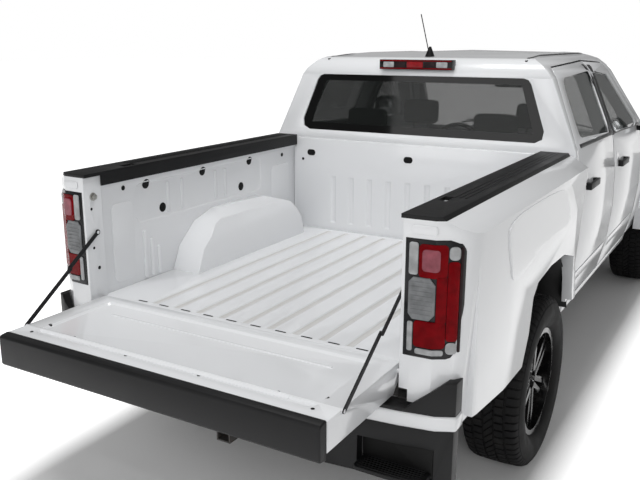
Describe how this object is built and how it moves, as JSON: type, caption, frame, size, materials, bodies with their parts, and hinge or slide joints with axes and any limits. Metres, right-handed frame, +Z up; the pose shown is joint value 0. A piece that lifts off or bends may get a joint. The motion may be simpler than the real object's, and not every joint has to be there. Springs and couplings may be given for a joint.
{
  "type": "pickup truck",
  "caption": "Crew-cab four-door pickup truck with a short open bed, lowered tailgate, steered front wheels, opening doors and hood.",
  "frame": {"origin": "on the ground under the middle of the truck's box, tailgate lowered", "axes": "+X to the truck's right, +Y forward, +Z up"},
  "size_m": [2.118, 5.769, 1.988],
  "materials": {
    "black_plastic": "satin black moulded plastic",
    "cabin_plastic": "dark grained plastic",
    "cast_metal": "bare cast metal",
    "exhaust_steel": "dull stainless steel",
    "frame_steel": "black painted chassis steel",
    "lamp_lens": "red and clear lamp lens",
    "seat_fabric": "dark woven seat fabric",
    "stay_steel": "coated steel strap",
    "tyre_rubber": "black tyre rubber",
    "wheel_black": "gloss black painted alloy",
    "white_paint": "gloss white paint with a clear coat",
    "window_glass": "tinted glass"
  },
  "bodies": {
    "root": {"antenna": "black_plastic", "bed_floor": "white_paint", "bed_sides": "white_paint", "bumper_pads": "black_plastic", "cab_back": "white_paint", "cab_cowl": "white_paint", "cab_floor": "cabin_plastic", "cab_roof": "white_paint", "cab_sides": "white_paint", "chassis_frame": "frame_steel", "dashboard": "cabin_plastic", "engine_block": "cast_metal", "exhaust": "exhaust_steel", "fixed_glass": "window_glass", "front_bumper": "white_paint", "front_fenders": "white_paint", "front_suspension": "frame_steel", "fuel_tank": "cabin_plastic", "grille": "black_plastic", "headboard": "white_paint", "lamps": "lamp_lens", "prop_shaft": "cast_metal", "rail_caps": "black_plastic", "rear_axle": "frame_steel", "rear_bumper": "white_paint", "rear_springs": "frame_steel", "seats": "seat_fabric", "spare_wheel": "tyre_rubber", "tow_hitch": "frame_steel", "wheelhouses": "white_paint"},
    "rear_wheel_left": {"tyre_rear_left": "tyre_rubber", "wheel_rear_left": "wheel_black"},
    "rear_door_left": {"door_rear_left": "white_paint", "door_glass_rear_left": "window_glass", "door_trim_rear_left": "black_plastic"},
    "rear_wheel_right": {"tyre_rear_right": "tyre_rubber", "wheel_rear_right": "wheel_black"},
    "rear_door_right": {"door_rear_right": "white_paint", "door_glass_rear_right": "window_glass", "door_trim_rear_right": "black_plastic"},
    "front_wheel_left": {"tyre_front_left": "tyre_rubber", "wheel_front_left": "wheel_black"},
    "front_door_left": {"door_front_left": "white_paint", "door_glass_front_left": "window_glass", "door_trim_front_left": "black_plastic"},
    "front_wheel_right": {"tyre_front_right": "tyre_rubber", "wheel_front_right": "wheel_black"},
    "front_door_right": {"door_front_right": "white_paint", "door_glass_front_right": "window_glass", "door_trim_front_right": "black_plastic"},
    "steer_knuckle_left": {"knuckle_left": "cast_metal"},
    "steer_knuckle_right": {"knuckle_right": "cast_metal"},
    "rack": {"steering_rack": "cast_metal"},
    "hand_wheel": {"steering_wheel": "cabin_plastic"},
    "hood_lid": {"hood": "white_paint"},
    "gate": {"tailgate": "white_paint", "gate_cap": "black_plastic"},
    "upper_stay": {"upper_stays": "stay_steel"},
    "lower_stay": {"lower_stays": "stay_steel"}
  },
  "joints": [
    {"name": "rear_left_spin", "type": "hinge", "parent": "root", "child": "rear_wheel_left", "pos_m": [-0.7925, -1.3195, 0.385], "axis": [1, 0, 0], "continuous": true},
    {"name": "rear_right_spin", "type": "hinge", "parent": "root", "child": "rear_wheel_right", "pos_m": [0.7925, -1.3195, 0.385], "axis": [1, 0, 0], "continuous": true},
    {"name": "steer_left", "type": "hinge", "parent": "root", "child": "steer_knuckle_left", "pos_m": [-0.7, 1.9395, 0.385], "axis": [0, 0, 1], "range_deg": [-32, 32]},
    {"name": "front_left_spin", "type": "hinge", "parent": "steer_knuckle_left", "child": "front_wheel_left", "pos_m": [-0.7925, 1.9395, 0.385], "axis": [1, 0, 0], "continuous": true},
    {"name": "steer_right", "type": "hinge", "parent": "root", "child": "steer_knuckle_right", "pos_m": [0.7, 1.9395, 0.385], "axis": [0, 0, 1], "range_deg": [-32, 32]},
    {"name": "front_right_spin", "type": "hinge", "parent": "steer_knuckle_right", "child": "front_wheel_right", "pos_m": [0.7925, 1.9395, 0.385], "axis": [1, 0, 0], "continuous": true},
    {"name": "rack_slide", "type": "slide", "parent": "root", "child": "rack", "axis": [1, 0, 0], "range_m": [-0.0641, 0.0641]},
    {"name": "hand_wheel_turn", "type": "hinge", "parent": "root", "child": "hand_wheel", "pos_m": [-0.365, 0.8955, 1.085], "axis": [0, -0.9063, 0.4226], "range_deg": [-512, 512]},
    {"name": "front_left_door", "type": "hinge", "parent": "root", "child": "front_door_left", "pos_m": [-0.855, 1.1225, 0.8], "axis": [0, 0, -1], "range_deg": [0, 65]},
    {"name": "front_right_door", "type": "hinge", "parent": "root", "child": "front_door_right", "pos_m": [0.855, 1.1225, 0.8], "axis": [0, 0, 1], "range_deg": [0, 65]},
    {"name": "rear_left_door", "type": "hinge", "parent": "root", "child": "rear_door_left", "pos_m": [-0.855, 0.1605, 0.8], "axis": [0, 0, -1], "range_deg": [0, 60]},
    {"name": "rear_right_door", "type": "hinge", "parent": "root", "child": "rear_door_right", "pos_m": [0.855, 0.1605, 0.8], "axis": [0, 0, 1], "range_deg": [0, 60]},
    {"name": "hood_lift", "type": "hinge", "parent": "root", "child": "hood_lid", "pos_m": [0, 1.6955, 1.1], "axis": [1, 0, 0], "range_deg": [0, 48]},
    {"name": "tailgate_lift", "type": "hinge", "parent": "root", "child": "gate", "pos_m": [0, -2.3695, 0.785], "axis": [-1, 0, 0], "range_deg": [0, 90]},
    {"name": "upper_stay_fold", "type": "hinge", "parent": "root", "child": "upper_stay", "pos_m": [0, -2.3545, 1.085], "axis": [-1, 0, 0], "range_deg": [-55.2, 0]},
    {"name": "lower_stay_fold", "type": "hinge", "parent": "gate", "child": "lower_stay", "pos_m": [0, -2.7545, 0.805], "axis": [-1, 0, 0], "range_deg": [0, 35.2]}
  ],
  "couplings": [
    {"joint": "steer_right", "follows": "steer_left", "ratio": 1},
    {"joint": "rack_slide", "follows": "steer_left", "m_per_rad": 0.11386},
    {"joint": "hand_wheel_turn", "follows": "steer_left", "ratio": 16},
    {"joint": "upper_stay_fold", "follows": "tailgate_lift", "ratio": -0.61111},
    {"joint": "lower_stay_fold", "follows": "tailgate_lift", "ratio": 0.38889}
  ]
}
